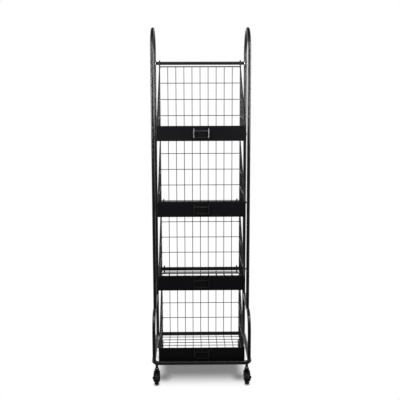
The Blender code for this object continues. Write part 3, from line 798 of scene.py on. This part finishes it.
caster_places = {}
for end in ("front", "rear"):
    for label in SIDES:
        low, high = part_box(f"caster_{end}_{label}_stem")
        spot = Matrix.Translation(((low.x + high.x) / 2, (low.y + high.y) / 2, 0))
        turn = Matrix.Rotation(math.pi if end == "rear" else 0, 4, "Z")
        caster_places[f"caster_{end}_{label}"] = spot @ turn

sleeve_r = STEM / 2
collar_r = COLLAR / 2
foot_r = sleeve_r - 0.0006
sleeve = turned_piece(
    "sleeve",
    [(foot_r, SLEEVE_FOOT), (sleeve_r, 0.0750), (sleeve_r, 0.0860),
     (sleeve_r + SLEEVE_FLARE, 0.0885), (sleeve_r + SLEEVE_FLARE, SLEEVE_TOP)],
    sides=32,
)
collar = turned_piece(
    "collar",
    [(PIN / 2, PIN_FOOT), (PIN / 2, COLLAR_FOOT), (collar_r - 0.0004, COLLAR_FOOT),
     (collar_r, 0.0707), (collar_r, 0.0738), (collar_r - 0.0005, 0.0743), (foot_r, SLEEVE_FOOT)],
    sides=32,
)
for name, place in caster_places.items():
    fitted(own_copy(sleeve, f"{name}_sleeve", place), "rack", "frame_paint", tube_coat)
    ring = own_copy(collar, f"{name}_collar", place)
    fitted(ring, "rack", "zinc_plate", zinc_plate, f"{name}_stem")
bpy.data.objects.remove(sleeve)
bpy.data.objects.remove(collar)

# Caster hoods: a black plastic moulding that arches over the wheel, with a round boss for the
# swivel pin and a shallow panel on either cheek. The front pair has two ears for a brake pedal.
WHEEL = 0.050
TRAIL = 0.020
HOOD_WIDTH = 0.030
HOOD_R = 0.031
HOOD_ROUND = 0.0009
HOOD_CUTS = (  # a point on each plane that trims the foot, and the side that goes
    ((0, 0, 0.016), (0, 0, -1)),
    ((0, 0.011, 0.0253), (0, 0.009, -0.022)),
    ((0, -0.029, 0.016), (0, -0.0144, -0.0215)),
)
SLOT_R = 0.028
SLOT_WIDTH = 0.0226
SLOT_DROP = 0.040
CHEEK_R = 0.0262
CHEEK_DEPTH = 0.0007
BOSS = 0.022
BOSS_TOP = 0.070
BOSS_DEPTH = 0.020
EAR = 0.004
EAR_R = 0.0042
EAR_PLAY = 0.0003
EAR_ROOT = 0.0062
EAR_ROUND = 0.0005
PEDAL_NECK = 0.016
PEDAL_ANGLE = math.radians(55)
PIVOT_OUT = 0.0055
MOULD_CREASE = math.radians(35)
CUTTER = 0.2  # larger than any caster

moulded = coated(
    "moulded_plastic", (0.007, 0.007, 0.008), DUST,
    grain=500.0, bump=0.00004, gloss=0.24, matt=0.36, dust=0.10, shine=0.3,
)
axle_spot = Vector((0, -TRAIL, WHEEL / 2))
radial = Vector((0, -math.cos(PEDAL_ANGLE), math.sin(PEDAL_ANGLE)))
pivot = axle_spot + radial * (HOOD_R + PIVOT_OUT)


def joined_on(piece, other):
    """Melts another shape on to the piece."""
    melt = piece.modifiers.new("melt", "BOOLEAN")
    melt.operation = "UNION"
    melt.solver = "EXACT"
    melt.object = other
    bpy.context.view_layer.objects.active = piece
    bpy.ops.object.modifier_apply(modifier="melt")
    bpy.data.objects.remove(other)


def across_bar(radius, width, centre, sides):
    """A round bar along X, as a start or a cutter for a caster part."""
    bpy.ops.object.select_all(action="DESELECT")
    bpy.ops.mesh.primitive_cylinder_add(
        vertices=sides, radius=radius, depth=width, location=centre, rotation=(0, math.pi / 2, 0),
    )
    bpy.ops.object.transform_apply(location=True, rotation=True, scale=True)
    return bpy.context.object


def block(size, centre):
    """A block, as a start or a cutter for a caster part."""
    bpy.ops.object.select_all(action="DESELECT")
    bpy.ops.mesh.primitive_cube_add(size=1, location=centre, scale=size)
    bpy.ops.object.transform_apply(location=True, rotation=True, scale=True)
    return bpy.context.object


def sliced_off(piece, point, normal):
    """Takes off all of the piece that lies beyond a plane."""
    beyond = block((CUTTER, CUTTER, CUTTER), (0, 0, CUTTER / 2))
    facing = Vector(normal).normalized().to_track_quat("Z", "Y").to_matrix().to_4x4()
    beyond.data.transform(Matrix.Translation(point) @ facing)
    cut_from(piece, beyond)


def hood_shape(eared):
    """A hood, with or without the ears for a brake pedal."""
    hood = across_bar(HOOD_R, HOOD_WIDTH, axle_spot, 64)
    hood.name = "hood"
    back = TRAIL + BOSS / 2
    roof = axle_spot + Vector((0, back / 2, HOOD_R / 2))
    joined_on(hood, block((HOOD_WIDTH, back, HOOD_R - NEAR), roof))
    bpy.ops.object.select_all(action="DESELECT")
    bpy.ops.mesh.primitive_cylinder_add(
        vertices=40, radius=BOSS / 2, depth=BOSS_DEPTH,
        location=(0, 0, BOSS_TOP - BOSS_DEPTH / 2),
    )
    joined_on(hood, bpy.context.object)
    for point, normal in HOOD_CUTS:
        sliced_off(hood, point, normal)
    bpy.ops.object.mode_set(mode="EDIT")
    bpy.ops.mesh.select_all(action="SELECT")
    bpy.ops.mesh.remove_doubles(threshold=MERGE)
    bpy.ops.mesh.dissolve_limited(angle_limit=math.radians(1))
    bpy.ops.object.mode_set(mode="OBJECT")
    softened(hood, HOOD_ROUND, MOULD_CREASE)
    for side in SIDES.values():
        cheek = axle_spot + Vector((side * HOOD_WIDTH / 2, 0, 0))
        cut_from(hood, across_bar(CHEEK_R, 2 * CHEEK_DEPTH, cheek, 64))
    for side in SIDES.values() if eared else ():
        middle = pivot + Vector((side * (PEDAL_NECK / 2 + EAR_PLAY + EAR / 2), 0, 0))
        ear = across_bar(EAR_R, EAR, middle, 28)
        bpy.ops.object.mode_set(mode="EDIT")
        bpy.ops.mesh.select_mode(type="VERT")
        bpy.ops.mesh.select_all(action="DESELECT")
        mesh = bmesh.from_edit_mesh(ear.data)
        for corner in mesh.verts:
            corner.select_set((corner.co - middle).dot(radial) < -NEAR)
        bmesh.update_edit_mesh(ear.data)
        bpy.ops.transform.translate(value=radial * -EAR_ROOT)
        bpy.ops.object.mode_set(mode="OBJECT")
        softened(ear, EAR_ROUND, MOULD_CREASE)
        joined_on(hood, ear)
    cut_from(hood, across_bar(SLOT_R, SLOT_WIDTH, axle_spot, 64))
    below = axle_spot - Vector((0, 0, SLOT_DROP / 2))
    cut_from(hood, block((SLOT_WIDTH, 2 * SLOT_R, SLOT_DROP), below))
    flats_kept(hood)
    return hood


plain_hood = hood_shape(False)
eared_hood = hood_shape(True)
for name, place in caster_places.items():
    cover = own_copy(eared_hood if "front" in name else plain_hood, f"{name}_cover", place)
    fitted(cover, f"{name}_fork", "black_plastic", moulded, f"{name}_hood")
bpy.data.objects.remove(plain_hood)
bpy.data.objects.remove(eared_hood)

# Caster wheels: a moulded plastic centre with a raised hub and a sunk web, and a soft black tyre
# pressed on round it, with rolled shoulders and a fine groove. The rubber is matt and dusty.
TYRE_SEAT = 0.0185

tyre_rubber = coated(
    "tyre_rubber", (0.016, 0.016, 0.017), (0.11, 0.105, 0.10),
    grain=320.0, bump=0.00006, gloss=0.55, matt=0.75, dust=0.3, shine=0.15,
)
on_axle = Matrix.Translation(axle_spot) @ Matrix.Rotation(math.pi / 2, 4, "Y")


def both_sides(half):
    """Both sides of a wheel part, from the radius and distance of each ring on one side."""
    return [(radius, -distance) for radius, distance in half] + half[::-1]


tread = WHEEL / 2
groove = tread - 0.0004
half_tyre = [  # radius and distance from the middle of the wheel
    (TYRE_SEAT, 0.0088), (TYRE_SEAT + 0.0008, 0.0097), (TYRE_SEAT + 0.0022, 0.0100),
    (tread - 0.0028, 0.0098), (tread - 0.0013, 0.0091), (tread - 0.0004, 0.0078),
    (tread, 0.0058), (tread, 0.0016), (groove, 0.0013),
]
half_core = [
    (0.0034, 0.0102), (0.0070, 0.0102), (0.0080, 0.0096), (0.0086, 0.0070), (0.0100, 0.0062),
    (0.0155, 0.0062), (0.0166, 0.0068), (0.0172, 0.0088), (TYRE_SEAT, 0.0090),
]
closed_tyre = both_sides(half_tyre)
closed_tyre.append(closed_tyre[0])
tyre = turned_piece("tyre", closed_tyre, 64, on_axle)
core = turned_piece("core", both_sides(half_core), 64, on_axle)
for name, place in caster_places.items():
    wheel = f"{name}_wheel_body"
    rubber = own_copy(tyre, f"{name}_tyre", place)
    fitted(rubber, wheel, "dark_rubber", tyre_rubber, f"{name}_wheel")
    fitted(own_copy(core, f"{name}_core", place), wheel, "black_plastic", moulded)
bpy.data.objects.remove(tyre)
bpy.data.objects.remove(core)

# Caster axles: a zinc-plated steel rivet through both cheeks of the hood, on which the wheel turns.
# It is pushed through from one side and domed over at both ends.
AXLE = 0.006
AXLE_HEAD = 0.010

cheek_x = HOOD_WIDTH / 2
head_r = AXLE_HEAD / 2
half_axle = [
    (head_r * 0.30, cheek_x + 0.0018), (head_r * 0.62, cheek_x + 0.0016),
    (head_r * 0.86, cheek_x + 0.0010), (head_r, cheek_x + 0.0002),
    (head_r, cheek_x - 0.0006), (AXLE / 2, cheek_x - 0.0006),
]
axle = turned_piece("axle", both_sides(half_axle), 32, on_axle)
for name, place in caster_places.items():
    rivet = own_copy(axle, f"{name}_rivet", place)
    fitted(rivet, f"{name}_fork", "zinc_plate", zinc_plate, f"{name}_axle")
bpy.data.objects.remove(axle)

# Brake pedals: a flared black moulding on a cross pin between the ears of each front hood, sloping
# down to the front, with three ribs across the tread for the toe.
PEDAL_SLOPE = math.radians(38)
PEDAL_LENGTH = 0.022
PEDAL_WIDTH = 0.036
PEDAL_FLARE = 0.0095
PEDAL_THICKNESS = 0.003
PEDAL_CORNER = 0.004
PEDAL_ROUND = 0.0008
PEDAL_PIN = 0.004
RIB = 0.0016
RIB_INSET = 0.0018
RIB_START = 0.0025
RIB_STEP = 0.0034

tongue = block(
    (PEDAL_WIDTH, PEDAL_LENGTH - PEDAL_FLARE, PEDAL_THICKNESS),
    (0, -(PEDAL_LENGTH + PEDAL_FLARE) / 2, 0),
)
tongue.name = "pedal"
bpy.ops.object.mode_set(mode="EDIT")
bpy.ops.mesh.select_mode(type="FACE")
bpy.ops.mesh.select_all(action="DESELECT")
mesh = bmesh.from_edit_mesh(tongue.data)
for face in mesh.faces:
    face.select_set(face.normal.y > 0.9)
bmesh.update_edit_mesh(tongue.data)
bpy.ops.mesh.extrude_region_move(TRANSFORM_OT_translate={"value": (0, PEDAL_THICKNESS, 0)})
bpy.ops.transform.resize(value=(PEDAL_NECK / PEDAL_WIDTH, 1, 1), center_override=(0, 0, 0))
neck = PEDAL_FLARE - PEDAL_THICKNESS + PEDAL_PIN / 2
bpy.ops.mesh.extrude_region_move(TRANSFORM_OT_translate={"value": (0, neck, 0)})
toe_y = NEAR - PEDAL_LENGTH
toe_x = PEDAL_WIDTH / 2 - NEAR
edge_select(tongue, lambda corner: corner.y < toe_y and abs(corner.x) > toe_x)
bpy.ops.mesh.bevel(offset=PEDAL_CORNER, segments=4, affect="EDGES")
bpy.ops.object.mode_set(mode="OBJECT")
softened(tongue, PEDAL_ROUND, MOULD_CREASE)
rib_x = PEDAL_WIDTH / 2 - RIB_INSET
rib_y = -PEDAL_FLARE - RIB_START
rib_z = PEDAL_THICKNESS / 2
rib = bent_tube("rib", RIB, [(-rib_x, rib_y, rib_z), (rib_x, rib_y, rib_z)], sides=12)
repeated(rib, 3, (0, -RIB_STEP, 0))
pin_x = PEDAL_NECK / 2 + EAR
pin = bent_tube("pin", PEDAL_PIN, [(-pin_x, 0, 0), (pin_x, 0, 0)], sides=20)
gathered([tongue, rib, pin])
tongue.data.transform(Matrix.Translation(pivot) @ Matrix.Rotation(PEDAL_SLOPE, 4, "X"))
for name, place in caster_places.items():
    if "front" in name:
        pedal = own_copy(tongue, f"{name}_toe_pedal", place)
        fitted(pedal, f"{name}_pedal_body", "black_plastic", moulded, f"{name}_brake_pedal")
bpy.data.objects.remove(tongue)

# Floor and studio: a plain white floor with a soft shadow painted into it under the rack and round
# its wheels, a white surround, and soft boxes above and at both sides that put a streak on the
# tubes.
FLOOR = 60
# painted shadow under the rack: the floor's glow is darkened here, fading out to the sides, front
# and rear
SHADE_SIDES = (0.246, 0.162)  # where the shade under the rack begins and where it is full
SHADE_FRONT = (-0.260, -0.060)
SHADE_REAR = (0.270, 0.070)
SHADE_LEVEL = 0.225  # what is left of the floor's white
# painted shadow beside each wheel: where it lies, how far it reaches and how dark it is
WHEEL_SHADE_X, WHEEL_SHADE_Y = 0.188, 0.136
WHEEL_SHADE_WIDTH, WHEEL_SHADE_DEPTH = 0.060, 0.075
WHEEL_SHADE_LEVEL = 0.42
# reach of the painted contact shade that ambient occlusion puts into the floor's glow
CONTACT_SHADE_REACH = 0.012
FLOOR_DIM = (-0.6, 0.6)  # the floor is dimmed towards the front where a coat mirrors it
FLOOR_DIM_LEVEL = 0.04
FLOOR_GREY = (0.8, 0.8, 0.8, 1)
WHITE = (1, 1, 1, 1)
ROOM_LEVEL = 0.08
WALL_BEHIND = (-0.1, 0.5)  # what a coat mirrors of the surround is a low wall behind the rack
WALL_LOW = (0.55, 0.15)
WALL_DIM_LEVEL = 0.06

bpy.ops.object.select_all(action="DESELECT")
bpy.ops.mesh.primitive_plane_add(size=FLOOR, location=(0, 0, 0))
floor = bpy.context.object
floor.name = "floor"
floor_paint = bpy.data.materials.new("floor_paint")
floor_paint.use_nodes = True
tree = floor_paint.node_tree
tree.nodes.clear()
floor_out = tree.nodes.new("ShaderNodeOutputMaterial")
place = tree.nodes.new("ShaderNodeTexCoord")
spot = tree.nodes.new("ShaderNodeSeparateXYZ")
sideways = tree.nodes.new("ShaderNodeMath")
sideways.operation = "ABSOLUTE"
tree.links.new(place.outputs["Object"], spot.inputs["Vector"])
tree.links.new(spot.outputs["X"], sideways.inputs[0])
# Painted shadow: the floor's glow is darkened under the rack by place alone, not by any lamp.
under = ranged(tree, sideways.outputs["Value"], SHADE_SIDES, ease="SMOOTHSTEP")
for edge in (SHADE_FRONT, SHADE_REAR):
    under = product(tree, under, ranged(tree, spot.outputs["Y"], edge, ease="SMOOTHSTEP"))
painted_soft_shade = ranged(tree, under, (0.0, 1.0), (1.0, SHADE_LEVEL))
# Painted shadow: a dark spot beside each wheel, the same at all four corners.
quarter = tree.nodes.new("ShaderNodeVectorMath")
quarter.operation = "ABSOLUTE"
off_wheel = tree.nodes.new("ShaderNodeVectorMath")
off_wheel.operation = "MULTIPLY_ADD"
off_wheel.inputs[1].default_value = (1 / WHEEL_SHADE_WIDTH, 1 / WHEEL_SHADE_DEPTH, 0)
off_wheel.inputs[2].default_value = (-WHEEL_SHADE_X / WHEEL_SHADE_WIDTH, -WHEEL_SHADE_Y / WHEEL_SHADE_DEPTH, 0)
from_spot = tree.nodes.new("ShaderNodeVectorMath")
from_spot.operation = "LENGTH"
tree.links.new(place.outputs["Object"], quarter.inputs[0])
tree.links.new(quarter.outputs["Vector"], off_wheel.inputs[0])
tree.links.new(off_wheel.outputs["Vector"], from_spot.inputs[0])
wheel_shade = ranged(
    tree, from_spot.outputs["Value"], (0.0, 1.0), (WHEEL_SHADE_LEVEL, 1.0), ease="SMOOTHSTEP",
)
# Painted contact shade: ambient occlusion darkens the floor's glow right round the tyres.
contact_shade = tree.nodes.new("ShaderNodeAmbientOcclusion")
contact_shade.samples = 8
contact_shade.inputs["Distance"].default_value = CONTACT_SHADE_REACH
shaded = product(tree, painted_soft_shade, wheel_shade)
brightness = product(tree, shaded, contact_shade.outputs["AO"])
towards_front = ranged(
    tree, spot.outputs["Y"], FLOOR_DIM, (FLOOR_DIM_LEVEL, 1.0), ease="SMOOTHSTEP",
)
rays = tree.nodes.new("ShaderNodeLightPath")
in_gloss = tree.nodes.new("ShaderNodeMix")
in_gloss.inputs["A"].default_value = 1.0
tree.links.new(rays.outputs["Is Glossy Ray"], in_gloss.inputs["Factor"])
tree.links.new(towards_front, in_gloss.inputs["B"])
glow = tree.nodes.new("ShaderNodeEmission")
lit = tree.nodes.new("ShaderNodeBsdfDiffuse")
lit.inputs["Color"].default_value = FLOOR_GREY
choice = tree.nodes.new("ShaderNodeMixShader")
tree.links.new(product(tree, brightness, in_gloss.outputs["Result"]), glow.inputs["Strength"])
tree.links.new(rays.outputs["Is Diffuse Ray"], choice.inputs["Fac"])
tree.links.new(glow.outputs["Emission"], choice.inputs[1])
tree.links.new(lit.outputs["BSDF"], choice.inputs[2])
tree.links.new(choice.outputs["Shader"], floor_out.inputs["Surface"])
floor.data.materials.append(floor_paint)

world = bpy.data.worlds.new("studio")
bpy.context.scene.world = world
world.use_nodes = True
tree = world.node_tree
tree.nodes.clear()
world_out = tree.nodes.new("ShaderNodeOutputWorld")
rays = tree.nodes.new("ShaderNodeLightPath")
heading = tree.nodes.new("ShaderNodeTexCoord")
parts = tree.nodes.new("ShaderNodeSeparateXYZ")
tree.links.new(heading.outputs["Generated"], parts.inputs["Vector"])
behind = ranged(tree, parts.outputs["Y"], WALL_BEHIND, ease="SMOOTHSTEP")
low_down = ranged(tree, parts.outputs["Z"], WALL_LOW, ease="SMOOTHSTEP")
wall = product(tree, behind, low_down)
wall_level = ranged(tree, wall, (0.0, 1.0), (WALL_DIM_LEVEL, 1.0))
room = tree.nodes.new("ShaderNodeBackground")
room.inputs["Strength"].default_value = ROOM_LEVEL
backdrop = tree.nodes.new("ShaderNodeBackground")
tree.links.new(wall_level, backdrop.inputs["Strength"])
white = tree.nodes.new("ShaderNodeBackground")
white.inputs["Strength"].default_value = 1.0
for surround in (room, backdrop, white):
    surround.inputs["Color"].default_value = WHITE
mirrored = tree.nodes.new("ShaderNodeMath")
mirrored.operation = "MAXIMUM"
in_gloss = tree.nodes.new("ShaderNodeMixShader")
in_view = tree.nodes.new("ShaderNodeMixShader")
tree.links.new(rays.outputs["Is Glossy Ray"], mirrored.inputs[0])
tree.links.new(rays.outputs["Is Transmission Ray"], mirrored.inputs[1])
tree.links.new(mirrored.outputs["Value"], in_gloss.inputs["Fac"])
tree.links.new(room.outputs["Background"], in_gloss.inputs[1])
tree.links.new(backdrop.outputs["Background"], in_gloss.inputs[2])
tree.links.new(rays.outputs["Is Camera Ray"], in_view.inputs["Fac"])
tree.links.new(in_gloss.outputs["Shader"], in_view.inputs[1])
tree.links.new(white.outputs["Background"], in_view.inputs[2])
tree.links.new(in_view.outputs["Shader"], world_out.inputs["Surface"])

for name, spot, target, width, height, watts in (
    ("top_softbox", (0.0, -1.3, 2.7), (0, -0.1, 1.2), 1.6, 1.0, 8),
    ("left_softbox", (-0.8, -0.38, 1.7), (0, 0, 1.7), 0.2, 1.1, 17),
    ("right_softbox", (0.8, -0.38, 1.7), (0, 0, 1.7), 0.2, 1.1, 17),
):
    lamp_data = bpy.data.lights.new(name, "AREA")
    lamp_data.shape = "RECTANGLE"
    lamp_data.size = width
    lamp_data.size_y = height
    lamp_data.energy = watts
    lamp = bpy.data.objects.new(name, lamp_data)
    bpy.context.scene.collection.objects.link(lamp)
    lamp.location = spot
    lamp.rotation_euler = (Vector(target) - Vector(spot)).to_track_quat("-Z", "Y").to_euler()

# Camera: a little above the middle and nearly square on to the front. Its lens, its place and its
# turn were fitted to the rack's outline in the photograph.
SENSOR = 36
LENS = 65.26
CAMERA_SPOT = (-0.048, -3.4662, 1.4166)
PAN = math.radians(-0.726)
TILT = math.radians(80.7)
ROLL = math.radians(-0.156)

camera_data = bpy.data.cameras.new("camera")
camera_data.sensor_width = SENSOR
camera_data.lens = LENS
camera = bpy.data.objects.new("camera", camera_data)
bpy.context.scene.collection.objects.link(camera)
camera.location = CAMERA_SPOT
aim = Matrix.Rotation(PAN, 4, "Z") @ Matrix.Rotation(TILT, 4, "X") @ Matrix.Rotation(ROLL, 4, "Z")
camera.rotation_euler = aim.to_euler()
bpy.context.scene.camera = camera

bpy.context.scene.view_settings.view_transform = "Standard"
